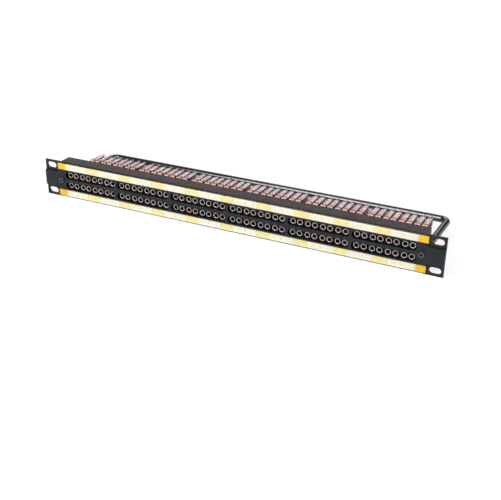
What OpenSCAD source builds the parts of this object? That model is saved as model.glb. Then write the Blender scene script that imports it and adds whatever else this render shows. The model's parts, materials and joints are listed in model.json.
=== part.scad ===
// Rack-mount audio patch bay with two rows of 48 small jacks.
// Millimetres. The front faces -Y, +X is to the right seen from the front, +Z is up.
// The origin is the centre of the four rack slots, on the rear face of the rack panel,
// which is the face that sits against the rack rails.

/* [Rack panel] */
// Width over both ears (19 inch rack)
panel_width = 482.6; // [480:0.1:484]
// Height of one rack unit, less the usual gap
panel_height = 43.66; // [43:0.01:44.4]
// Sheet thickness
panel_thick = 2.0; // [1.5:0.1:3]
// Rack slot centres, each side of the middle
slot_offset_x = 232.55; // [230:0.05:234]
// Rack slot centres, above and below the middle
slot_offset_z = 15.875; // [15:0.005:16.5]
// Rack slot length along X
slot_length = 12.5; // [9:0.1:14]
// Rack slot height
slot_height = 7.0; // [6:0.1:8]
// Half length of the folded flanges
flange_half_length = 220.4; // [216:0.1:224]
// Depth of the flanges behind the panel
flange_depth = 15.5; // [8:0.1:20]
// Flange thickness
flange_thick = 1.6; // [1:0.1:2.5]
// Outer bend radius of the flanges
bend_radius = 1.6; // [0.5:0.1:2]
// Half length of the opening behind the front plate
opening_half_length = 213.2; // [212:0.1:214]
// Half height of the opening behind the front plate
opening_half_height = 11.3; // [11:0.1:11.5]

/* [Front plate] */
// Plate thickness
plate_thick = 2.0; // [1:0.1:3]
// Half height between the designation strips
plate_half_height = 11.7; // [11.3:0.05:11.8]
// Half length of the part between the strips
plate_half_length = 223.6; // [220:0.1:225]
// Half height of the tabs on the ears
tab_half_height = 9.4; // [8:0.1:11]
// Radius of the pill-shaped windows
window_radius = 4.5; // [4:0.05:4.7]
// Window end, beyond the centre of the last jack
window_end = 5.0; // [4.5:0.05:6]

/* [Jack layout] */
// Distance between the two rows
row_spacing = 12.7; // [12:0.05:14]
// Pitch inside a pair
pair_pitch = 7.92; // [7.6:0.01:8.5]
// Pitch from one pair to the next
pair_gap = 9.02; // [8:0.01:9.5]
// Pitch from one group of eight to the next
group_gap = 12.5; // [11:0.05:13]

/* [Jacks] */
// Radius of the plug bore
bore_radius = 2.225; // [2.2:0.005:2.3]
// Outer radius of the barrel
barrel_radius = 3.15; // [2.9:0.05:3.3]
// Front of the barrel, ahead of the panel's rear face
barrel_front = 1.0; // [0:0.1:1.8]
// Rear end of the barrel
barrel_rear = 27.0; // [24:0.1:30]
// Collar radius behind the jack strip
collar_radius = 3.7; // [3.4:0.05:3.8]
// Collar length
collar_length = 1.5; // [1:0.1:3]
// Front end of the spring slots in the barrel
spring_slot_front = 14.0; // [12:0.1:16]
// Width of the spring slots in the barrel
spring_slot_width = 3.4; // [3:0.05:3.8]
// Radius of the wider bore along the spring slots
relief_radius = 2.5; // [2.3:0.05:2.7]
// Housing width
housing_width = 6.1; // [6:0.1:7.4]
// Housing height
housing_height = 7.4; // [6:0.1:8]
// Rear face of the housing
housing_rear = 64.5; // [60:0.1:66]
// Front face of the bridge that clamps the springs
bridge_front = 42.0; // [41:0.1:43]
// Rear face of the bridge
bridge_rear = 46.0; // [45:0.1:48]
// Half height of the housing at the bridge
bridge_half_height = 4.6; // [4.4:0.05:5]
// Radius of the bridge's front edge
bridge_round = 1.2; // [0.3:0.05:1.5]
// Width of the spring grooves in the housing
groove_width = 3.6; // [3.2:0.05:4]
// Height of the web left between the grooves
web_height = 3.4; // [3:0.1:4]
// Thickness of the contact metal
contact_thick = 0.4; // [0.3:0.05:0.5]
// Where the springs are held, behind the panel
spring_root = 44.0; // [42:0.1:46]
// Where the tip spring touches a plug, behind the panel
tip_contact_y = 22.4; // [22:0.1:23]
// Where the ring spring touches a plug, behind the panel
ring_contact_y = 17.2; // [17:0.1:18]
// Rear end of the tip and ring tags
spring_tag_rear = 68.5; // [68:0.1:72]
// Rear end of the normal tags
normal_tag_rear = 68.0; // [67.6:0.1:72]
// Rear end of the sleeve tag
sleeve_tag_rear = 68.0; // [67.6:0.1:72]
// Rise of the tags, away from the jack axis
tag_rise = 1.2; // [0:0.1:1.6]
// Height of the upright tag that is bent out of a tip or ring plate
upright_height = 2.7; // [2:0.1:2.8]
// Front face of the upright tag
upright_front = 47.6; // [46.6:0.1:52]

/* [Jack strips] */
// Strip thickness
strip_thick = 1.6; // [1:0.1:2]
// Half length of a strip
strip_half_length = 213.6; // [213.3:0.1:213.9]
// Outer edge of a strip, from the middle
strip_outer = 15.0; // [13:0.1:18]
// Inner edge of a strip, from the middle
strip_inner = 0.3; // [0.2:0.1:1]

/* [Designation strips] */
// Half length of a card and its cover
label_half_length = 223.2; // [215:0.1:224]
// Middle of a card, above or below the centre
label_offset_z = 16.35; // [16:0.05:16.6]
// Card height
card_height = 7.4; // [6.5:0.1:7.6]
// Card thickness
card_thick = 0.5; // [0.2:0.05:0.6]
// Height of the slot in the cover
cover_slot_height = 7.8; // [7.6:0.1:8]
// Depth of the slot in the cover
cover_slot_depth = 1.0; // [0.8:0.05:1.2]
// Wall thickness of the cover
cover_wall = 0.45; // [0.4:0.05:0.8]

/* [Lacing bar] */
// Rod diameter
rod_diameter = 7.94; // [6:0.02:8]
// Legs, each side of the middle
rod_offset_x = 218.0; // [217.5:0.1:219]
// Middle of the rear length, behind the panel
rod_rear = 107.5; // [90:0.5:130]
// Slope of the rod, down towards the rear, in degrees
rod_droop = 3.6; // [0:0.1:5]
// Bend radius on the middle line of the rod
rod_bend = 9.0; // [8:0.5:20]
// Screw radius
screw_radius = 2.0; // [1.5:0.1:2.5]
// Screw head radius
screw_head_radius = 3.25; // [3:0.05:4]
// Screw head height
screw_head_height = 2.2; // [1.5:0.1:3]
// Screw depth into the rod
screw_depth = 12.0; // [8:0.5:20]

/* [Hidden] */
$fn = 48;
GROUPS = 6;
JACKS_IN_GROUP = 8;
ear_half = panel_width / 2;
half_height = panel_height / 2;
panel_front = -panel_thick;
plate_front = panel_front - plate_thick;
pair_period = pair_pitch + pair_gap;
group_length = 4 * pair_pitch + 3 * pair_gap;
group_period = group_length + group_gap;
first_jack_x = -(5 * group_period + group_length) / 2;
row_z = row_spacing / 2;
fit_gap = 0.02;
bore_chamfer = 0.35;
collar_rear = strip_thick + collar_length;
housing_half_width = housing_width / 2;
housing_half_height = housing_height / 2;
web_half = web_height / 2;
ledge_half_width = 2.35;
ledge_height = 3.1;
blade_half = 0.18;
spring_half_width = 1.3;
spring_knee_z = 3.1;
spring_contact_z = 1.15;
spring_lead_z = 2.2;
root_gap = 0.3;
plate_inset = 0.05;
plate_overhang = 0.5;
upright_x = [-1.4, 0.6];
tunnel_top = housing_half_height + 0.1;
normal_half_width = 1.5;
normal_front = 35.0;
dimple_top = 2.85;
tag_inner = 0.1;
tag_outer = 2.3;
sleeve_half_width = 0.9;
eyelet_radius = 0.7;
eyelet_margin = 2.0;
upright_hole_radius = 0.45;
beyond = 1;

// Shared helpers

function jack_x(group, place) =
    first_jack_x + group * group_period + floor(place / 2) * pair_period + (place % 2) * pair_pitch;

module y_cylinder(radius, y_front, y_rear) {
    translate([0, y_front, 0])
        rotate([-90, 0, 0])
            cylinder(r = radius, h = y_rear - y_front);
}

module box(x_range, y_range, z_range) {
    translate([x_range[0], y_range[0], z_range[0]])
        cube([x_range[1] - x_range[0], y_range[1] - y_range[0], z_range[1] - z_range[0]]);
}

// A side view outline, points as [y, z], carried along X
module side_profile(points, x_low, x_high) {
    translate([x_low, 0, 0])
        rotate([90, 0, 90])
            linear_extrude(x_high - x_low)
                polygon(points);
}

module obround_cutter(length, height, y_front, y_rear) {
    straight = length - height;
    box([-straight / 2, straight / 2], [y_front, y_rear], [-height / 2, height / 2]);
    for (side = [-1, 1])
        translate([side * straight / 2, 0, 0])
            y_cylinder(height / 2, y_front, y_rear);
}

module in_group(group, z) {
    for (place = [0 : JACKS_IN_GROUP - 1])
        translate([jack_x(group, place), 0, z])
            children();
}

module in_row(z) {
    for (group = [0 : GROUPS - 1])
        in_group(group, z)
            children();
}

module turned_over() {
    mirror([0, 0, 1])
        children();
}

module half_turn() {
    rotate([0, 180, 0])
        children();
}

// Rack panel

module bend_cutter() {
    difference() {
        box([-flange_half_length, flange_half_length],
            [panel_front - beyond, panel_front + bend_radius],
            [half_height - bend_radius, half_height + beyond]);
        translate([-flange_half_length - beyond, panel_front + bend_radius, half_height - bend_radius])
            rotate([0, 90, 0])
                cylinder(r = bend_radius, h = 2 * flange_half_length + 2 * beyond);
    }
}

module flange() {
    box([-flange_half_length, flange_half_length],
        [panel_front, flange_depth],
        [half_height - flange_thick, half_height]);
}

module gusset() {
    top = half_height - flange_thick;
    outline = [[0, top], [flange_depth, top], [flange_depth, top - 3], [3, 12], [0, 12]];
    side_profile(outline, flange_half_length - flange_thick, flange_half_length);
}

module rack_panel() {
    color([0.11, 0.11, 0.12])
    difference() {
        union() {
            box([-ear_half, ear_half], [panel_front, 0], [-half_height, half_height]);
            for (over = [0, 1])
                mirror([0, 0, over]) {
                    flange();
                    for (side = [0, 1])
                        mirror([side, 0, 0])
                            gusset();
                }
        }
        bend_cutter();
        turned_over()
            bend_cutter();
        box([-opening_half_length, opening_half_length],
            [panel_front - beyond, beyond],
            [-opening_half_height, opening_half_height]);
        for (side_x = [-1, 1]) {
            for (side_z = [-1, 1])
                translate([side_x * slot_offset_x, 0, side_z * slot_offset_z])
                    obround_cutter(slot_length, slot_height, panel_front - beyond, beyond);
            translate([side_x * rod_offset_x, 0, 0])
                y_cylinder(screw_radius + 0.2, panel_front - beyond, beyond);
        }
    }
}

// Front plate

module window_cutter(group) {
    middle = (jack_x(group, 0) + jack_x(group, JACKS_IN_GROUP - 1)) / 2;
    translate([middle, 0, 0])
        obround_cutter(group_length + 2 * window_end, 2 * window_radius,
            plate_front - beyond, panel_front + beyond);
}

module front_plate() {
    color([0.13, 0.13, 0.14])
    difference() {
        union() {
            box([-plate_half_length, plate_half_length], [plate_front, panel_front],
                [-plate_half_height, plate_half_height]);
            box([-ear_half, ear_half], [plate_front, panel_front],
                [-tab_half_height, tab_half_height]);
        }
        for (group = [0 : GROUPS - 1])
            for (z = [-row_z, row_z])
                translate([0, 0, z])
                    window_cutter(group);
        for (side_x = [-1, 1])
            translate([side_x * rod_offset_x, 0, 0])
                y_cylinder(screw_radius + 0.2, plate_front - beyond, panel_front + beyond);
    }
}

// Jack strips

module jack_strip(z_range, row) {
    color([0.08, 0.08, 0.09])
    difference() {
        box([-strip_half_length, strip_half_length], [0, strip_thick], z_range);
        in_row(row)
            y_cylinder(barrel_radius + fit_gap, -beyond, strip_thick + beyond);
    }
}

// Designation strips

module label_cover() {
    slot_half = cover_slot_height / 2;
    outer_half = slot_half + cover_wall;
    slot_front = panel_front - cover_slot_depth;
    cover_front = slot_front - 0.6;
    outline = [
        [panel_front, -outer_half], [panel_front, -slot_half],
        [slot_front, -slot_half], [slot_front, slot_half],
        [panel_front, slot_half], [panel_front, outer_half],
        [cover_front, outer_half], [cover_front, -outer_half]
    ];
    color([0.9, 0.95, 0.97, 0.35])
        side_profile(outline, -label_half_length, label_half_length);
}

module label_card() {
    card_middle = panel_front - cover_slot_depth / 2;
    color([0.95, 0.9, 0.72])
        box([-label_half_length, label_half_length],
            [card_middle - card_thick / 2, card_middle + card_thick / 2],
            [-card_height / 2, card_height / 2]);
}

// Lacing bar and its screws

// The rod before it slopes, its legs a little longer than they end up
module bent_rod() {
    rod_radius = rod_diameter / 2;
    reach = rod_rear / cos(rod_droop);
    for (side = [0, 1])
        mirror([side, 0, 0]) {
            translate([rod_offset_x, 0, 0])
                y_cylinder(rod_radius, -beyond, reach - rod_bend);
            translate([rod_offset_x - rod_bend, reach - rod_bend, 0])
                rotate_extrude(angle = 90)
                    translate([rod_bend, 0])
                        circle(r = rod_radius);
        }
    translate([-rod_offset_x + rod_bend, reach, 0])
        rotate([0, 90, 0])
            cylinder(r = rod_radius, h = 2 * (rod_offset_x - rod_bend));
}

module lacing_bar() {
    color([0.05, 0.05, 0.06])
    difference() {
        rotate([-rod_droop, 0, 0])
            bent_rod();
        box([-ear_half, ear_half], [-3 * beyond, 0], [-half_height, half_height]);
        for (side_x = [-1, 1])
            translate([side_x * rod_offset_x, 0, 0])
                y_cylinder(screw_radius + 0.1, -beyond, screw_depth + 2);
    }
}

module bar_screw() {
    head_front = plate_front - screw_head_height;
    difference() {
        union() {
            y_cylinder(screw_head_radius, head_front, plate_front);
            y_cylinder(screw_radius, plate_front, screw_depth);
        }
        translate([0, head_front - beyond, 0])
            rotate([-90, 0, 0])
                cylinder(d = 2.9, h = beyond + 1.3, $fn = 6);
    }
}

module bar_screws() {
    color([0.09, 0.09, 0.1])
        for (side_x = [-1, 1])
            translate([side_x * rod_offset_x, 0, 0])
                bar_screw();
}

// Jack pieces, each around the axis of one jack

module jack_barrel() {
    color([0.78, 0.78, 0.76])
    difference() {
        union() {
            y_cylinder(barrel_radius, -barrel_front, barrel_rear);
            y_cylinder(collar_radius, strip_thick, collar_rear);
        }
        y_cylinder(bore_radius, -barrel_front - beyond, barrel_rear + beyond);
        y_cylinder(relief_radius, spring_slot_front, barrel_rear + beyond);
        translate([0, -barrel_front, 0])
            rotate([-90, 0, 0])
                cylinder(r1 = bore_radius + bore_chamfer, r2 = bore_radius, h = bore_chamfer);
        box([-spring_slot_width / 2, spring_slot_width / 2],
            [spring_slot_front, barrel_rear + beyond],
            [-barrel_radius - beyond, barrel_radius + beyond]);
    }
}

module groove_cutter() {
    box([-groove_width / 2, groove_width / 2],
        [barrel_rear - beyond, housing_rear + beyond], [web_half, tunnel_top]);
    box([-ledge_half_width, ledge_half_width],
        [spring_root, housing_rear + beyond], [ledge_height, tunnel_top]);
}

// Raised block over the clamped end of a spring, with a round front edge
module bridge() {
    top_flat = bridge_half_height - bridge_round;
    box([-housing_half_width, housing_half_width], [bridge_front + bridge_round, bridge_rear],
        [0, bridge_half_height]);
    box([-housing_half_width, housing_half_width], [bridge_front, bridge_rear], [0, top_flat]);
    translate([-housing_half_width, bridge_front + bridge_round, top_flat])
        rotate([0, 90, 0])
            cylinder(r = bridge_round, h = housing_width);
}

module jack_housing() {
    color([0.8, 0.2, 0.17])
    difference() {
        union() {
            box([-housing_half_width, housing_half_width], [barrel_rear, housing_rear],
                [-housing_half_height, housing_half_height]);
            bridge();
            turned_over()
                bridge();
        }
        groove_cutter();
        turned_over()
            groove_cutter();
    }
}

// A leaf spring from its clamped end to the lead-in ahead of its contact point
module spring_blade(contact_y, knee_y) {
    root_z = ledge_height + contact_thick / 2;
    middle_line = [
        [spring_root, root_z], [knee_y, spring_knee_z], [contact_y + 1.7, spring_contact_z + 0.2],
        [contact_y, spring_contact_z], [contact_y - 1.9, spring_lead_z]
    ];
    last = len(middle_line) - 1;
    upper = [for (point = middle_line) [point[0], point[1] + blade_half]];
    lower = [for (i = [last : -1 : 0]) [middle_line[i][0], middle_line[i][1] - blade_half]];
    color([0.8, 0.79, 0.76])
        side_profile(concat(upper, lower), -spring_half_width, spring_half_width);
}

module tip_spring() {
    spring_blade(tip_contact_y, tip_contact_y + 8.6);
}

module ring_spring() {
    turned_over()
        spring_blade(ring_contact_y, ring_contact_y + 11.8);
}

module eyelet_cutter(x, y) {
    translate([x, y, 0])
        cylinder(r = eyelet_radius, h = 2 * housing_height, $fn = 24);
}

// Solder tag behind the housing, rising away from the jack axis
module solder_tag(x_range, low, tag_rear) {
    high = low + contact_thick;
    tag_front = housing_rear + plate_overhang;
    tag_root = housing_rear + fit_gap;
    outline = [
        [tag_root, low], [tag_front, low], [tag_rear, low + tag_rise],
        [tag_rear, high + tag_rise], [tag_front, high], [tag_root, high]
    ];
    difference() {
        side_profile(outline, x_range[0], x_range[1]);
        eyelet_cutter((x_range[0] + x_range[1]) / 2, tag_rear - eyelet_margin);
    }
}

// Plate in the housing, with a tag bent up out of it and a solder tag behind it
module spring_terminal() {
    low = ledge_height;
    high = ledge_height + contact_thick;
    plate_half_width = ledge_half_width - plate_inset;
    upright_rear = upright_front + contact_thick;
    upright_top = high + upright_height;
    color([0.83, 0.83, 0.82]) {
        difference() {
            box([-plate_half_width, plate_half_width],
                [spring_root + root_gap, housing_rear + plate_overhang], [low, high]);
            box(upright_x, [upright_rear, upright_rear + upright_height], [low - beyond, high + beyond]);
        }
        difference() {
            box(upright_x, [upright_front, upright_rear], [low, upright_top]);
            translate([(upright_x[0] + upright_x[1]) / 2, 0, upright_top - 1])
                y_cylinder(upright_hole_radius, upright_front - beyond, upright_rear + beyond);
        }
        solder_tag([tag_inner, tag_outer], low, spring_tag_rear);
    }
}

// Contact under a spring, with a dimple that a bent spring leaves, and its own tag
module normal_contact() {
    low = web_half;
    high = web_half + contact_thick;
    blade_rear = housing_rear + plate_overhang;
    blade_outline = [
        [normal_front, low], [blade_rear, low], [blade_rear, high],
        [normal_front + 2.5, high], [normal_front + 2, dimple_top], [normal_front, dimple_top]
    ];
    color([0.83, 0.83, 0.82]) {
        side_profile(blade_outline, -normal_half_width, normal_half_width);
        solder_tag([-tag_outer, -tag_inner], low, normal_tag_rear);
    }
}

module sleeve_terminal() {
    color([0.83, 0.83, 0.82])
    difference() {
        box([-sleeve_half_width, sleeve_half_width], [housing_rear, sleeve_tag_rear],
            [-contact_thick / 2, contact_thick / 2]);
        translate([0, 0, -housing_height])
            eyelet_cutter(0, sleeve_tag_rear - eyelet_margin);
    }
}

rack_panel();
front_plate();
jack_strip([strip_inner, strip_outer], row_z);  // jack_strip_upper
jack_strip([-strip_outer, -strip_inner], -row_z);  // jack_strip_lower
translate([0, 0, label_offset_z]) label_cover();  // label_cover_upper
translate([0, 0, -label_offset_z]) label_cover();  // label_cover_lower
translate([0, 0, label_offset_z]) label_card();  // label_card_upper
translate([0, 0, -label_offset_z]) label_card();  // label_card_lower
lacing_bar();
bar_screws();
in_row(row_z) jack_barrel();  // jack_barrels_upper
in_row(-row_z) jack_barrel();  // jack_barrels_lower
in_row(row_z) jack_housing();  // jack_housings_upper
in_row(-row_z) jack_housing();  // jack_housings_lower
in_row(row_z) spring_terminal();  // tip_terminals_upper
in_row(-row_z) spring_terminal();  // tip_terminals_lower
in_row(row_z) normal_contact();  // tip_normals_upper
in_row(-row_z) normal_contact();  // tip_normals_lower
in_row(row_z) half_turn() spring_terminal();  // ring_terminals_upper
in_row(-row_z) half_turn() spring_terminal();  // ring_terminals_lower
in_row(row_z) half_turn() normal_contact();  // ring_normals_upper
in_row(-row_z) half_turn() normal_contact();  // ring_normals_lower
in_row(row_z) sleeve_terminal();  // sleeve_terminals_upper
in_row(-row_z) sleeve_terminal();  // sleeve_terminals_lower
in_group(0, row_z) tip_spring();  // tip_springs_upper_1
in_group(1, row_z) tip_spring();  // tip_springs_upper_2
in_group(2, row_z) tip_spring();  // tip_springs_upper_3
in_group(3, row_z) tip_spring();  // tip_springs_upper_4
in_group(4, row_z) tip_spring();  // tip_springs_upper_5
in_group(5, row_z) tip_spring();  // tip_springs_upper_6
in_group(0, -row_z) tip_spring();  // tip_springs_lower_1
in_group(1, -row_z) tip_spring();  // tip_springs_lower_2
in_group(2, -row_z) tip_spring();  // tip_springs_lower_3
in_group(3, -row_z) tip_spring();  // tip_springs_lower_4
in_group(4, -row_z) tip_spring();  // tip_springs_lower_5
in_group(5, -row_z) tip_spring();  // tip_springs_lower_6
in_group(0, row_z) ring_spring();  // ring_springs_upper_1
in_group(1, row_z) ring_spring();  // ring_springs_upper_2
in_group(2, row_z) ring_spring();  // ring_springs_upper_3
in_group(3, row_z) ring_spring();  // ring_springs_upper_4
in_group(4, row_z) ring_spring();  // ring_springs_upper_5
in_group(5, row_z) ring_spring();  // ring_springs_upper_6
in_group(0, -row_z) ring_spring();  // ring_springs_lower_1
in_group(1, -row_z) ring_spring();  // ring_springs_lower_2
in_group(2, -row_z) ring_spring();  // ring_springs_lower_3
in_group(3, -row_z) ring_spring();  // ring_springs_lower_4
in_group(4, -row_z) ring_spring();  // ring_springs_lower_5
in_group(5, -row_z) ring_spring();  // ring_springs_lower_6
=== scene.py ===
import json
import math

import bmesh
import bpy
from mathutils import Matrix, Vector


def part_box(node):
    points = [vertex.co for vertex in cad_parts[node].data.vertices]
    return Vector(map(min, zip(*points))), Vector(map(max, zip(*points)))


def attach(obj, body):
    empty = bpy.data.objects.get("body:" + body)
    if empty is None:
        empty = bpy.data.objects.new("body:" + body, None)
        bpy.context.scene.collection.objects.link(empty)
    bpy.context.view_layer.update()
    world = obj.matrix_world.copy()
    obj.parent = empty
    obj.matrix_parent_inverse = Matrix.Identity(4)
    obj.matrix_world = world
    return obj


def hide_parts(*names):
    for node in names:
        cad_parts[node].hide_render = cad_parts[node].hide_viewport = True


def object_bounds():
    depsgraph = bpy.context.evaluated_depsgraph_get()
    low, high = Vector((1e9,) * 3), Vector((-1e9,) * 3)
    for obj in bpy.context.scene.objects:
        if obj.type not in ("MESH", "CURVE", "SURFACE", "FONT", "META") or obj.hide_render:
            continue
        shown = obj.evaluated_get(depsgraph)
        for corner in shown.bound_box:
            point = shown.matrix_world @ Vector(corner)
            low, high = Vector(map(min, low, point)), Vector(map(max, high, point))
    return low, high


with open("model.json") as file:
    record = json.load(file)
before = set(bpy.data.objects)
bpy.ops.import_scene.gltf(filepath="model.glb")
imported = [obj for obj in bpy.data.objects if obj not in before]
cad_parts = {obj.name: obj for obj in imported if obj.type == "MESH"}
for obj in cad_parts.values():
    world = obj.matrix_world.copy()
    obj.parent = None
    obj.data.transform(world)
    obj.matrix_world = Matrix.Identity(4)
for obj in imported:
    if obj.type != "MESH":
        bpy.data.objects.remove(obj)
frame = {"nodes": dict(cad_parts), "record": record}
cad_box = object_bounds()

MM = 0.001
FIRST_NUMBERS = {"upper": 1, "lower": 49}
GROUPS = range(1, 7)
JACK_MOUNTS = [mount for mount in frame["record"]["mounts"] if mount["kind"] == "bore"]


def jack_places(row):
    """The middles of a row's bores, from left to right."""
    return [Vector(mount["pos_m"]) for mount in JACK_MOUNTS if mount["name"].startswith(f"jack_{row}")]


# Camera, placed as in the photograph

CAMERA_PLACE_MM = (387.7, -773.1, 377.6)
CAMERA_AZIMUTH = 24.94
CAMERA_ELEVATION = 26.06
CAMERA_ROLL = 1.04
IMAGE_WIDTH = 501
FOCAL_PIXELS = 861.3
SENSOR_MM = 36.0
CLIP_START = 0.01
CLIP_END = 50


def make_camera():
    azimuth = math.radians(CAMERA_AZIMUTH)
    elevation = math.radians(CAMERA_ELEVATION)
    roll = math.radians(CAMERA_ROLL)
    back = Vector((
        math.sin(azimuth) * math.cos(elevation),
        -math.cos(azimuth) * math.cos(elevation),
        math.sin(elevation),
    ))
    level_right = Vector((0, 0, 1)).cross(back).normalized()
    level_up = back.cross(level_right)
    right = level_right * math.cos(roll) + level_up * math.sin(roll)
    up = level_up * math.cos(roll) - level_right * math.sin(roll)
    data = bpy.data.cameras.new("camera")
    data.sensor_fit = "HORIZONTAL"
    data.sensor_width = SENSOR_MM
    data.lens = FOCAL_PIXELS / IMAGE_WIDTH * SENSOR_MM
    data.clip_start = CLIP_START
    data.clip_end = CLIP_END
    camera = bpy.data.objects.new("camera", data)
    turn = Matrix((right, up, back)).transposed().to_4x4()
    camera.matrix_world = Matrix.Translation(Vector(CAMERA_PLACE_MM) * MM) @ turn
    bpy.context.scene.collection.objects.link(camera)
    bpy.context.scene.camera = camera


# Node helpers for the materials

EVEN = (1, 1, 1)
NOISE_LOW = 0.3
NOISE_HIGH = 0.7
DRIFT_DETAIL = 3.0
MIX_FACTOR = 0
MIX_FIRST = 6
MIX_SECOND = 7
MIX_RESULT = 2


def feed(tree, socket, value):
    """Link another node's output to the socket, or set the socket to a plain value."""
    if isinstance(value, bpy.types.NodeSocket):
        tree.links.new(value, socket)
    else:
        socket.default_value = value


def add_node(tree, kind, inputs=None, **settings):
    node = tree.nodes.new(kind)
    for name, value in settings.items():
        setattr(node, name, value)
    for name, value in (inputs or {}).items():
        feed(tree, node.inputs[name], value)
    return node


def new_material(name, **values):
    """A material with one Principled shader; values are its constant sockets, with _ for a space."""
    material = bpy.data.materials.new(name)
    material.use_nodes = True
    tree = material.node_tree
    shader = tree.nodes["Principled BSDF"]
    for socket, value in values.items():
        shader.inputs[socket.replace("_", " ")].default_value = value
    return material, tree, shader


def rgba(colour):
    return (*colour, 1.0)


def object_place(tree):
    return add_node(tree, "ShaderNodeTexCoord").outputs["Object"]


def object_axes(tree):
    """The place on the object as separate X, Y and Z."""
    return add_node(tree, "ShaderNodeSeparateXYZ", {"Vector": object_place(tree)}).outputs


def noise(tree, size_mm, detail, stretch=EVEN):
    """A noise with features of about that size, from 0 to 1."""
    mapping = add_node(tree, "ShaderNodeMapping", {"Vector": object_place(tree), "Scale": stretch})
    texture = add_node(tree, "ShaderNodeTexNoise", {
        "Vector": mapping.outputs["Vector"], "Scale": 1 / (size_mm * MM), "Detail": detail,
    })
    return texture.outputs["Fac"]


def map_range(tree, value, start, end, low, high, blend="LINEAR"):
    node = add_node(tree, "ShaderNodeMapRange", {
        "Value": value, "From Min": start, "From Max": end, "To Min": low, "To Max": high,
    }, interpolation_type=blend)
    return node.outputs["Result"]


def spread(tree, factor, low, high):
    """The middle of a noise spread over a range of values."""
    return map_range(tree, factor, NOISE_LOW, NOISE_HIGH, low, high)


def mix_colour(tree, factor, first, second):
    sockets = {MIX_FACTOR: factor, MIX_FIRST: first, MIX_SECOND: second}
    return add_node(tree, "ShaderNodeMix", sockets, data_type="RGBA").outputs[MIX_RESULT]


def maths(tree, operation, first, second=0.0):
    return add_node(tree, "ShaderNodeMath", {0: first, 1: second}, operation=operation).outputs[0]


def mix_shaders(tree, factor, first, second):
    """The material's surface: the first shader at factor 0, the second at 1."""
    sockets = {0: factor, 1: first.outputs[0], 2: second.outputs[0]}
    mixed = add_node(tree, "ShaderNodeMixShader", sockets)
    tree.links.new(mixed.outputs[0], tree.nodes["Material Output"].inputs["Surface"])


def tone(tree, shader, size_mm, first, second):
    """Colour that drifts between two close tones."""
    factor = spread(tree, noise(tree, size_mm, DRIFT_DETAIL), 0.0, 1.0)
    colour = mix_colour(tree, factor, rgba(first), rgba(second))
    tree.links.new(colour, shader.inputs["Base Color"])


def polish(tree, shader, size_mm, low, high, stretch=EVEN):
    """Roughness that drifts between two values."""
    factor = noise(tree, size_mm, DRIFT_DETAIL, stretch)
    tree.links.new(spread(tree, factor, low, high), shader.inputs["Roughness"])


def relief(tree, shader, size_mm, depth_mm, strength, detail=2.0, stretch=EVEN):
    """Fine bumps of about that size and depth."""
    bump = add_node(tree, "ShaderNodeBump", {
        "Height": noise(tree, size_mm, detail, stretch), "Distance": depth_mm * MM, "Strength": strength,
    })
    tree.links.new(bump.outputs["Normal"], shader.inputs["Normal"])


# Materials

COAT_ROUGH_DRIFT = 0.06
TIN_ROUGH_DRIFT = 0.1


def powder_coat(name, first, second, rough, gloss):
    """Black powder coat: fine orange peel, and a slow drift of tone and gloss."""
    material, tree, shader = new_material(name, Specular_IOR_Level=gloss)
    tone(tree, shader, size_mm=14.0, first=first, second=second)
    polish(tree, shader, size_mm=5.0, low=rough - COAT_ROUGH_DRIFT, high=rough + COAT_ROUGH_DRIFT)
    relief(tree, shader, size_mm=0.45, depth_mm=0.03, strength=0.5)
    return material


def black_plate():
    """Black plating on the rod: a dark mirror with a soft ripple."""
    material, tree, shader = new_material("black_plate", Metallic=1.0)
    tone(tree, shader, size_mm=18.0, first=(0.125, 0.122, 0.127), second=(0.165, 0.162, 0.167))
    polish(tree, shader, size_mm=7.0, low=0.12, high=0.2)
    relief(tree, shader, size_mm=2.5, depth_mm=0.02, strength=0.35, detail=1.0)
    return material


def black_oxide():
    """Blackened steel of the screws."""
    material, tree, shader = new_material("black_oxide", Metallic=0.85)
    tone(tree, shader, size_mm=1.6, first=(0.085, 0.08, 0.1), second=(0.13, 0.123, 0.15))
    polish(tree, shader, size_mm=0.9, low=0.3, high=0.45)
    relief(tree, shader, size_mm=0.25, depth_mm=0.01, strength=0.4)
    return material


def nickel():
    """Bright nickel plate with turning marks around the barrel and a faint warm drift."""
    material, tree, shader = new_material("nickel", Metallic=1.0)
    tone(tree, shader, size_mm=6.0, first=(0.53, 0.45, 0.415), second=(0.66, 0.57, 0.53))
    polish(tree, shader, size_mm=1.2, low=0.14, high=0.3)
    relief(tree, shader, size_mm=0.5, depth_mm=0.01, strength=0.35, stretch=(0.15, 1.0, 0.15))
    return material


def bore_metal():
    """Wall of a plug bore: dull metal, much darker than the nickel as painted shade inside the bore."""
    material, tree, shader = new_material("bore_metal", Metallic=1.0)
    tone(tree, shader, size_mm=1.5, first=(0.07, 0.056, 0.048), second=(0.12, 0.1, 0.085))
    polish(tree, shader, size_mm=0.8, low=0.4, high=0.55)
    return material


def tinned_metal(name, first, second, rough, metallic):
    """Tin and silver plate: dull flow marks over bright metal."""
    material, tree, shader = new_material(name, Metallic=metallic)
    tone(tree, shader, size_mm=3.0, first=first, second=second)
    polish(tree, shader, size_mm=1.1, low=rough - TIN_ROUGH_DRIFT, high=rough + TIN_ROUGH_DRIFT)
    relief(tree, shader, size_mm=0.7, depth_mm=0.02, strength=0.4)
    return material


def red_plastic(name, first, second):
    """Translucent red moulding: cloudy inside, glossy outside."""
    material, tree, shader = new_material(
        name, IOR=1.5, Transmission_Weight=0.05, Specular_IOR_Level=0.6,
    )
    tone(tree, shader, size_mm=4.0, first=first, second=second)
    polish(tree, shader, size_mm=2.0, low=0.28, high=0.42)
    relief(tree, shader, size_mm=0.8, depth_mm=0.015, strength=0.35)
    return material


# Painted shade on the moulding side walls: dark at SIDE_DARK_MM, paler by SIDE_PALE_MM, with an uneven
# edge.
SIDE_DARK_MM = 45.0
SIDE_PALE_MM = 56.0
SIDE_UNEVEN_MM = 2.0
SIDE_DARK = (0.07, 0.014, 0.01)
SIDE_PALE = (0.5, 0.25, 0.23)


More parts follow.
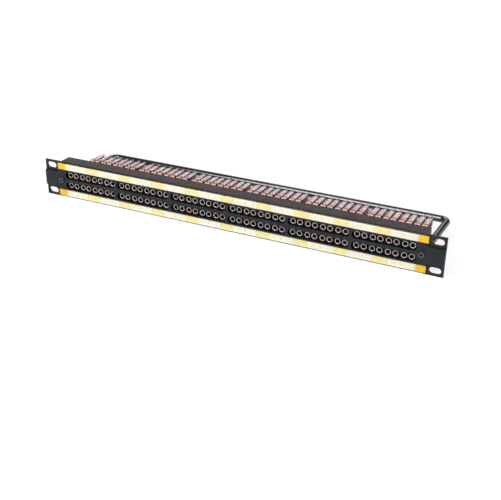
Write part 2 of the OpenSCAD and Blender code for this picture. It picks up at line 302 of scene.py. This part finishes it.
def shaded_red():
    """The side walls of the mouldings, with painted shade: deep brown near the bridge, redder towards the
    tags.
    """
    material, tree, shader = new_material("shaded_red_plastic", IOR=1.5, Specular_IOR_Level=0.12)
    reach = SIDE_UNEVEN_MM * MM
    uneven = spread(tree, noise(tree, size_mm=3.0, detail=2.0), -reach, reach)
    depth = maths(tree, "ADD", object_axes(tree)["Y"], uneven)
    along = map_range(tree, depth, SIDE_DARK_MM * MM, SIDE_PALE_MM * MM, 0.0, 1.0)
    colour = mix_colour(tree, along, rgba(SIDE_DARK), rgba(SIDE_PALE))
    tree.links.new(colour, shader.inputs["Base Color"])
    polish(tree, shader, size_mm=2.0, low=0.35, high=0.5)
    relief(tree, shader, size_mm=0.8, depth_mm=0.015, strength=0.35)
    return material


LABEL_PERIOD_MM = 43.8
LABEL_BLOCK_HALF_MM = 8.5
LABEL_END_MM = 212.7
LABEL_GAP_MM = 0.9
LABEL_DOT_RADIUS_MM = 1.2
LABEL_WHITE = (0.94, 0.89, 0.71)
LABEL_YELLOW = (0.94, 0.8, 0.38)
LABEL_GAP_COLOUR = (0.94, 0.84, 0.52)
LABEL_ORANGE = (0.92, 0.55, 0.004)
LABEL_DOT = (0.93, 0.79, 0.4)
PAPER_FLECK = (0.55, 0.5, 0.42)
PAPER_FLECK_SHARE = 0.06


def printed_card(row):
    """Card with colour fields: orange ends, yellow blocks, white fields with a small dot."""
    low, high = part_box(f"label_card_{row}")
    material, tree, shader = new_material(f"printed_card_{row}", Specular_IOR_Level=0.3)
    place = object_axes(tree)
    from_middle = maths(tree, "ABSOLUTE", place["X"])
    from_block = maths(tree, "PINGPONG", place["X"], LABEL_PERIOD_MM * MM / 2)
    from_dot_x = maths(tree, "SUBTRACT", LABEL_PERIOD_MM * MM / 2, from_block)
    from_dot_z = maths(tree, "SUBTRACT", place["Z"], (low.z + high.z) / 2)
    square_x = maths(tree, "POWER", from_dot_x, 2.0)
    square_z = maths(tree, "POWER", from_dot_z, 2.0)
    from_dot = maths(tree, "SQRT", maths(tree, "ADD", square_x, square_z))
    in_dot = maths(tree, "LESS_THAN", from_dot, LABEL_DOT_RADIUS_MM * MM)
    in_block = maths(tree, "LESS_THAN", from_block, LABEL_BLOCK_HALF_MM * MM)
    in_gap = maths(tree, "GREATER_THAN", from_middle, (LABEL_END_MM - LABEL_GAP_MM) * MM)
    in_end = maths(tree, "GREATER_THAN", from_middle, LABEL_END_MM * MM)
    colour = mix_colour(tree, in_dot, rgba(LABEL_WHITE), rgba(LABEL_DOT))
    colour = mix_colour(tree, in_block, colour, rgba(LABEL_YELLOW))
    colour = mix_colour(tree, in_gap, colour, rgba(LABEL_GAP_COLOUR))
    colour = mix_colour(tree, in_end, colour, rgba(LABEL_ORANGE))
    flecks = spread(tree, noise(tree, size_mm=1.4, detail=4.0), 0.0, PAPER_FLECK_SHARE)
    colour = mix_colour(tree, flecks, colour, rgba(PAPER_FLECK))
    tree.links.new(colour, shader.inputs["Base Color"])
    polish(tree, shader, size_mm=2.0, low=0.5, high=0.65)
    relief(tree, shader, size_mm=0.3, depth_mm=0.01, strength=0.4, detail=3.0)
    return material


def clear_plastic():
    """Clear extruded cover: light passes to the card, the surface keeps its gloss and fine scuffs."""
    material, tree, shader = new_material(
        "clear_plastic", IOR=1.2, Transmission_Weight=1.0, Specular_IOR_Level=0.5,
    )
    tone(tree, shader, size_mm=20.0, first=(0.95, 0.97, 0.97), second=(0.98, 0.99, 0.99))
    polish(tree, shader, size_mm=1.5, low=0.02, high=0.07, stretch=(0.1, 1.0, 1.0))
    relief(tree, shader, size_mm=1.0, depth_mm=0.004, strength=0.3, stretch=(0.05, 1.0, 1.0))
    paths = add_node(tree, "ShaderNodeLightPath").outputs
    passing = maths(tree, "MAXIMUM", paths["Is Shadow Ray"], paths["Is Diffuse Ray"])
    mix_shaders(tree, passing, shader, add_node(tree, "ShaderNodeBsdfTransparent"))
    return material


def printed_ink():
    """Grey ink of the numbers, a little uneven."""
    material, tree, shader = new_material("printed_ink", Specular_IOR_Level=0.3)
    tone(tree, shader, size_mm=0.6, first=(0.55, 0.51, 0.42), second=(0.68, 0.63, 0.51))
    polish(tree, shader, size_mm=0.8, low=0.45, high=0.6)
    return material


# Pieces made from the CAD nodes

WELD = 0.002 * MM
FLAT_ANGLE = math.radians(0.5)
SMOOTH_ANGLE = math.radians(38)


def link_piece(name, mesh, material):
    piece = bpy.data.objects.new(name, mesh)
    bpy.context.scene.collection.objects.link(piece)
    mesh.materials.clear()
    mesh.materials.append(material)
    return piece


def body_of_node(node):
    for body, nodes in frame["record"]["behaviour"]["bodies"].items():
        if node in nodes:
            return body
    raise KeyError(node)


def stand_for(piece, node):
    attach(piece, body_of_node(node))
    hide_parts(node)


def finish_shape(shape, name, material):
    """A smoothly shaded piece from a finished bmesh, which is freed."""
    mesh = bpy.data.meshes.new(name)
    shape.to_mesh(mesh)
    shape.free()
    mesh.shade_smooth()
    mesh.set_sharp_from_angle(angle=SMOOTH_ANGLE)
    return link_piece(name, mesh, material)


def soften_edges(piece, width_mm, segments):
    bevel = piece.modifiers.new("edges", "BEVEL")
    bevel.width = width_mm * MM
    bevel.segments = segments
    bevel.limit_method = "ANGLE"
    bevel.angle_limit = SMOOTH_ANGLE
    bevel.use_clamp_overlap = True
    normals = piece.modifiers.new("normals", "WEIGHTED_NORMAL")
    normals.keep_sharp = True


def finished(node, material, width_mm, segments=2):
    """A piece with the CAD node's shape, its flat faces made whole and its edges rounded."""
    shape = bmesh.new()
    shape.from_mesh(frame["nodes"][node].data)
    bmesh.ops.remove_doubles(shape, verts=shape.verts, dist=WELD)
    bmesh.ops.dissolve_limit(shape, angle_limit=FLAT_ANGLE, verts=shape.verts, edges=shape.edges)
    piece = finish_shape(shape, f"finished_{node}", material)
    soften_edges(piece, width_mm, segments)
    stand_for(piece, node)
    return piece


# Faces that take a material of their own

BORE_WALL_TILT = 0.3
LIP_FRONT_MM = 41.9
LIP_REAR_MM = 43.2
LIP_TILT = 0.12
SIDE_TILT = 0.9
UPRIGHT_TILT = 0.9
UPRIGHT_FRONT_MM = 47.6


def line_faces(piece, material, chosen):
    piece.data.materials.append(material)
    index = len(piece.data.materials) - 1
    for face in piece.data.polygons:
        if chosen(face):
            face.material_index = index


def line_bores(piece, row, material):
    """The walls of the plug bores, which face the jack axes."""
    axes = jack_places(row)

    def on_bore_wall(face):
        axis = min(axes, key=lambda place: abs(place.x - face.center.x))
        outward = Vector((face.center.x - axis.x, 0, face.center.z - axis.z))
        return outward.dot(face.normal) < 0 and abs(face.normal.y) < BORE_WALL_TILT

    line_faces(piece, material, on_bore_wall)


def on_upright(face):
    """The front faces of the upright tags, which take a brighter metal as painted light."""
    return face.normal.y < -UPRIGHT_TILT and abs(face.center.y - UPRIGHT_FRONT_MM * MM) < WELD


def on_lip(face):
    """The round front edges of the moulded bridges, which take a paler red as a painted highlight."""
    on_edge = LIP_FRONT_MM * MM < face.center.y < LIP_REAR_MM * MM
    return on_edge and face.normal.y < -LIP_TILT and abs(face.normal.z) > LIP_TILT


def on_side(face):
    """The side walls of the mouldings, deep in the gaps, which take painted shade."""
    return abs(face.normal.x) > SIDE_TILT


# Rod and screws

ROD_SIDES = 40
ROD_RADIUS_MM = 3.97
ROD_BEND_MM = 9.0
ROD_BEND_STEPS = 20
ROD_DROOP = math.radians(3.6)


def close_round_shape(shape, rings):
    """Quads between rings that have the same number of points, and a face on the first and the last."""
    for first, second in zip(rings, rings[1:]):
        count = len(first)
        for i in range(count):
            j = (i + 1) % count
            shape.faces.new((first[i], first[j], second[j], second[i]))
    shape.faces.new(rings[0])
    shape.faces.new(rings[-1])


def rod_path(leg_x, reach):
    """Points and directions along the level rod, from the right leg round the back to the left leg."""
    bend = ROD_BEND_MM * MM
    stations = [(Vector((leg_x, 0, 0)), Vector((0, 1, 0)))]
    for side in (1, -1):
        centre = Vector((side * (leg_x - bend), reach - bend, 0))
        for step in range(ROD_BEND_STEPS + 1):
            turn = math.pi / 2 * step / ROD_BEND_STEPS
            angle = turn if side > 0 else math.pi / 2 + turn
            outward = Vector((math.cos(angle), math.sin(angle), 0))
            heading = Vector((-math.sin(angle), math.cos(angle), 0))
            stations.append((centre + outward * bend, heading))
    stations.append((Vector((-leg_x, 0, 0)), Vector((0, -1, 0))))
    return stations


def make_lacing_bar(material):
    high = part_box("lacing_bar")[1]
    radius = ROD_RADIUS_MM * MM
    slope = Matrix.Rotation(-ROD_DROOP, 3, "X")
    leg_heading = slope @ Vector((0, 1, 0))
    stations = rod_path(high.x - radius, (high.y - radius) / math.cos(ROD_DROOP))
    shape = bmesh.new()
    rings = []
    for number, (point, heading) in enumerate(stations):
        side = heading.cross(Vector((0, 0, 1)))
        ring = []
        for i in range(ROD_SIDES):
            turn = 2 * math.pi * i / ROD_SIDES
            outward = side * (radius * math.cos(turn)) + Vector((0, 0, radius * math.sin(turn)))
            place = slope @ (point + outward)
            if number in (0, len(stations) - 1):
                place -= leg_heading * (place.y / leg_heading.y)
            ring.append(shape.verts.new(place))
        rings.append(ring)
    close_round_shape(shape, rings)
    bmesh.ops.recalc_face_normals(shape, faces=shape.faces)
    piece = finish_shape(shape, "finished_lacing_bar", material)
    stand_for(piece, "lacing_bar")


SCREW_SIDES = 48
SCREW_HEAD_RADIUS_MM = 3.25
SCREW_HEAD_HEIGHT_MM = 2.2
SCREW_HEAD_ROUND_MM = 0.45
SCREW_ROUND_STEPS = 5
SCREW_SHANK_RADIUS_MM = 2.0
SOCKET_RADIUS_MM = 1.45
SOCKET_DEPTH_MM = 1.3
SOCKET_LEAD_MM = 0.15


def hexagon_radius(corner_radius, angle):
    sector = math.pi / 3
    return corner_radius * math.cos(sector / 2) / math.cos(angle % sector - sector / 2)


def screw_ring(shape, centre_x, y, radius, hexagon=False):
    """A ring of points around a screw's axis, in millimetres."""
    ring = []
    for i in range(SCREW_SIDES):
        angle = 2 * math.pi * i / SCREW_SIDES
        reach = hexagon_radius(radius, angle) if hexagon else radius
        place = Vector((centre_x + reach * math.cos(angle), y, reach * math.sin(angle)))
        ring.append(shape.verts.new(place * MM))
    return ring


def screw_outline(front, shank_end):
    """How far along and how wide each ring of a screw is, from the floor of the socket to the tip."""
    under = front + SCREW_HEAD_HEIGHT_MM
    flat = SCREW_HEAD_RADIUS_MM - SCREW_HEAD_ROUND_MM
    outline = [
        (front + SOCKET_DEPTH_MM, SOCKET_RADIUS_MM, True),
        (front + SOCKET_LEAD_MM, SOCKET_RADIUS_MM, True),
        (front, SOCKET_RADIUS_MM + SOCKET_LEAD_MM, False),
    ]
    for step in range(SCREW_ROUND_STEPS + 1):
        turn = math.pi / 2 * step / SCREW_ROUND_STEPS
        along = front + SCREW_HEAD_ROUND_MM * (1 - math.cos(turn))
        outline.append((along, flat + SCREW_HEAD_ROUND_MM * math.sin(turn), False))
    outline.append((under, SCREW_HEAD_RADIUS_MM, False))
    outline.append((under, SCREW_SHANK_RADIUS_MM, False))
    outline.append((shank_end, SCREW_SHANK_RADIUS_MM, False))
    return outline


def make_bar_screws(material, socket_shade_paint):
    low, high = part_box("bar_screws")
    axis_x = high.x - SCREW_HEAD_RADIUS_MM * MM
    socket_floor = low.y + SOCKET_DEPTH_MM * MM
    outline = screw_outline(low.y / MM, high.y / MM)
    shape = bmesh.new()
    for side in (1, -1):
        centre_x = side * (high.x / MM - SCREW_HEAD_RADIUS_MM)
        close_round_shape(shape, [screw_ring(shape, centre_x, *ring) for ring in outline])
    bmesh.ops.recalc_face_normals(shape, faces=shape.faces)
    piece = finish_shape(shape, "finished_bar_screws", material)
    stand_for(piece, "bar_screws")

    def in_socket(face):
        from_axis = math.hypot(abs(face.center.x) - axis_x, face.center.z)
        return from_axis < SOCKET_RADIUS_MM * MM and low.y < face.center.y < socket_floor + WELD

    # Painted shade: the socket's walls and floor take a near-black coat.
    line_faces(piece, socket_shade_paint, in_socket)


# Numbers on the cards

NUMBER_HEIGHT_MM = 2.3
NUMBER_THICK_MM = 0.02
NUMBER_CURVE_STEPS = 3


def number_mesh(number):
    """One plain number, lying flat around the origin."""
    text = bpy.data.curves.new("number", "FONT")
    text.body = str(number)
    text.size = NUMBER_HEIGHT_MM * MM
    text.align_x = "CENTER"
    text.align_y = "CENTER"
    text.extrude = NUMBER_THICK_MM * MM / 2
    text.resolution_u = NUMBER_CURVE_STEPS
    holder = bpy.data.objects.new("number", text)
    bpy.context.scene.collection.objects.link(holder)
    bpy.context.view_layer.update()
    mesh = bpy.data.meshes.new_from_object(holder.evaluated_get(bpy.context.evaluated_depsgraph_get()))
    bpy.data.objects.remove(holder)
    bpy.data.curves.remove(text)
    return mesh


def make_numbers(row, material):
    """Plain numbers on a card, one above or below each jack."""
    low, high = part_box(f"label_card_{row}")
    upright = Matrix.Rotation(math.pi / 2, 4, "X")
    joined = bmesh.new()
    for number, jack in enumerate(jack_places(row), start=FIRST_NUMBERS[row]):
        mesh = number_mesh(number)
        spot = Vector((jack.x, low.y - NUMBER_THICK_MM * MM / 2, (low.z + high.z) / 2))
        mesh.transform(Matrix.Translation(spot) @ upright)
        joined.from_mesh(mesh)
        bpy.data.meshes.remove(mesh)
    bmesh.ops.remove_doubles(joined, verts=joined.verts, dist=WELD)
    bmesh.ops.recalc_face_normals(joined, faces=joined.faces)
    piece = finish_shape(joined, f"numbers_{row}", material)
    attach(piece, f"{row}_card")


# Stage and light

FLOOR_HALF = 6.0
FLOOR_DRIFT_MM = 400.0
FLOOR_COLOUR = (0.86, 0.86, 0.86)
FLOOR_COLOUR_PALER = (0.87, 0.87, 0.87)
FLOOR_SHADED = (0.3, 0.3, 0.3)
FLOOR_GLOW = 0.8
FLOOR_FADE = 0.1
FLOOR_DROP_MM = 0.2
SHADE_MIDDLE = (-0.02, 0.085)
SHADE_FULL = (0.175, 0.035)
SHADE_END = (0.225, 0.068)
SHADE_DEPTH = 0.85
GLOW_NEAR = 0.5
GLOW_FAR = 2.5
WHITE = (1.0, 1.0, 1.0)
AMBIENT = (0.26, 0.26, 0.26)
MIRRORED_ROOM = (0.14, 0.14, 0.14)
SOFTBOX_TARGET = Vector((0, 0.05, 0))
SOFTBOXES = (
    {"name": "key", "place": (-0.38, -1.4, 1.05), "size": (1.1, 1.2), "power": 22},
    {"name": "top", "place": (0.1, -0.5, 1.5), "size": (1.6, 0.9), "power": 9},
    {"name": "rim", "place": (-0.6, 1.5, 0.85), "size": (1.9, 0.9), "power": 6},
)


def seen_directly(tree, paths):
    """1 for camera and transmission rays, which see the white surroundings."""
    return maths(tree, "MAXIMUM", paths["Is Camera Ray"], paths["Is Transmission Ray"])


def shade_under(tree, place):
    """Soft shade on the floor under the object, 0 around it."""
    shade = SHADE_DEPTH
    for axis, name in enumerate("XY"):
        offset = maths(tree, "SUBTRACT", place[name], SHADE_MIDDLE[axis])
        distance = maths(tree, "ABSOLUTE", offset)
        inside = map_range(tree, distance, SHADE_FULL[axis], SHADE_END[axis], 1.0, 0.0, "SMOOTHSTEP")
        shade = maths(tree, "MULTIPLY", inside, shade)
    return shade


def floor_paint():
    """Pale floor that looks white directly and in mirrors in front, with a soft shade under the object."""
    material, tree, shader = new_material("floor_paint", Roughness=0.9, Specular_IOR_Level=0.1)
    tone(tree, shader, FLOOR_DRIFT_MM, FLOOR_COLOUR, FLOOR_COLOUR_PALER)
    place = object_axes(tree)
    paths = add_node(tree, "ShaderNodeLightPath").outputs
    length = add_node(tree, "ShaderNodeVectorMath", {0: object_place(tree)}, operation="LENGTH")
    whiteness = map_range(
        tree, length.outputs["Value"], GLOW_NEAR, GLOW_FAR, FLOOR_GLOW, 1.0, "SMOOTHSTEP",
    )
    lit_part = maths(tree, "SUBTRACT", 1.0, shade_under(tree, place))
    strength = maths(tree, "MULTIPLY", lit_part, whiteness)
    glow = add_node(tree, "ShaderNodeEmission", {"Color": rgba(WHITE), "Strength": strength})
    shaded = add_node(tree, "ShaderNodeBsdfDiffuse", {"Color": rgba(FLOOR_SHADED)})
    lit = add_node(tree, "ShaderNodeAddShader", {0: shaded.outputs[0], 1: glow.outputs[0]})
    in_front = map_range(tree, place["Y"], 0.0, FLOOR_FADE, 1.0, 0.0, "SMOOTHSTEP")
    mirrored = maths(tree, "MULTIPLY", paths["Is Glossy Ray"], in_front)
    mix_shaders(tree, maths(tree, "MAXIMUM", seen_directly(tree, paths), mirrored), shader, lit)
    return material


def make_floor():
    shape = bmesh.new()
    bmesh.ops.create_grid(shape, x_segments=1, y_segments=1, size=FLOOR_HALF)
    mesh = bpy.data.meshes.new("floor")
    shape.to_mesh(mesh)
    shape.free()
    floor = link_piece("floor", mesh, floor_paint())
    floor.location.z = cad_box[0].z - FLOOR_DROP_MM * MM


def make_world():
    world = bpy.data.worlds.new("studio")
    bpy.context.scene.world = world
    world.use_nodes = True
    tree = world.node_tree
    paths = add_node(tree, "ShaderNodeLightPath").outputs
    colour = mix_colour(tree, paths["Is Glossy Ray"], rgba(AMBIENT), rgba(MIRRORED_ROOM))
    colour = mix_colour(tree, seen_directly(tree, paths), colour, rgba(WHITE))
    tree.links.new(colour, tree.nodes["Background"].inputs["Color"])


def make_softbox(name, place, size, power):
    data = bpy.data.lights.new(name, "AREA")
    data.shape = "RECTANGLE"
    data.size, data.size_y = size
    data.energy = power
    lamp = bpy.data.objects.new(name, data)
    lamp.location = place
    lamp.rotation_euler = (SOFTBOX_TARGET - Vector(place)).to_track_quat("-Z", "Y").to_euler()
    bpy.context.scene.collection.objects.link(lamp)


def make_studio():
    make_world()
    make_floor()
    for softbox in SOFTBOXES:
        make_softbox(**softbox)


# The object

PANEL_EDGE_MM = 0.25
PLATE_EDGE_MM = 0.3
HOUSING_EDGE_MM = 0.2
SMALL_EDGE_MM = 0.15
TERMINAL_EDGE_MM = 0.06
SPRING_EDGE_MM = 0.05


def make_front():
    """The panel, the front plate, the rod and its screws, and the strips behind the windows."""
    panel_coat = powder_coat(
        "panel_coat", (0.018, 0.0105, 0.0115), (0.023, 0.0145, 0.0155), rough=0.42, gloss=0.27,
    )
    plate_coat = powder_coat(
        "plate_coat", (0.013, 0.018, 0.0225), (0.018, 0.0245, 0.03), rough=0.42, gloss=0.22,
    )
    strip_coat = powder_coat(
        "strip_coat", (0.005, 0.0035, 0.003), (0.008, 0.006, 0.005), rough=0.55, gloss=0.08,
    )
    finished("rack_panel", panel_coat, PANEL_EDGE_MM)
    finished("front_plate", plate_coat, PLATE_EDGE_MM)
    make_lacing_bar(black_plate())
    # The near-black strip coat also lines the screws' sockets as painted shade.
    make_bar_screws(black_oxide(), strip_coat)
    for row in FIRST_NUMBERS:
        finished(f"jack_strip_{row}", strip_coat, SMALL_EDGE_MM)


def make_labels():
    """The covers, and the cards with their numbers."""
    clear = clear_plastic()
    ink = printed_ink()
    for row in FIRST_NUMBERS:
        finished(f"label_cover_{row}", clear, SMALL_EDGE_MM)
        card = frame["nodes"][f"label_card_{row}"].data
        card.materials.clear()
        card.materials.append(printed_card(row))
        make_numbers(row, ink)


def make_jacks():
    """The barrels, mouldings, tags and springs."""
    tags = tinned_metal("tinned_tags", (0.24, 0.235, 0.24), (0.86, 0.86, 0.88), rough=0.32, metallic=0.6)
    # A brighter, less metallic copy of the tag metal for the uprights' fronts: painted light.
    solder = tinned_metal("solder", (0.72, 0.71, 0.71), (0.86, 0.85, 0.85), rough=0.42, metallic=0.15)
    springs = tinned_metal("spring_metal", (0.42, 0.4, 0.37), (0.55, 0.53, 0.49), rough=0.3, metallic=1.0)
    barrel_metal = nickel()
    dark_bore = bore_metal()
    red = red_plastic("red_plastic", (0.44, 0.075, 0.06), (0.58, 0.125, 0.1))
    # The paler red is a painted highlight on the bridges' front edges.
    lip_highlight_red = red_plastic("pale_red_plastic", (0.86, 0.54, 0.45), (0.93, 0.67, 0.57))
    side_shade_red = shaded_red()
    for row in FIRST_NUMBERS:
        # The bore walls take a dark metal as painted shade.
        line_bores(finished(f"jack_barrels_{row}", barrel_metal, SMALL_EDGE_MM), row, dark_bore)
        housings = finished(f"jack_housings_{row}", red, HOUSING_EDGE_MM)
        # The front edges of the bridges take the painted highlight.
        line_faces(housings, lip_highlight_red, on_lip)
        # The side walls of the mouldings take painted shade.
        line_faces(housings, side_shade_red, on_side)
        for kind in ("tip_terminals", "ring_terminals"):
            # The uprights' front faces take the painted light.
            line_faces(finished(f"{kind}_{row}", tags, TERMINAL_EDGE_MM, segments=1), solder, on_upright)
        for kind in ("tip_normals", "ring_normals", "sleeve_terminals"):
            finished(f"{kind}_{row}", tags, TERMINAL_EDGE_MM, segments=1)
        for group in GROUPS:
            for kind in ("tip", "ring"):
                finished(f"{kind}_springs_{row}_{group}", springs, SPRING_EDGE_MM, segments=1)


make_camera()
make_front()
make_labels()
make_jacks()
make_studio()
bpy.context.scene.view_settings.view_transform = "Standard"
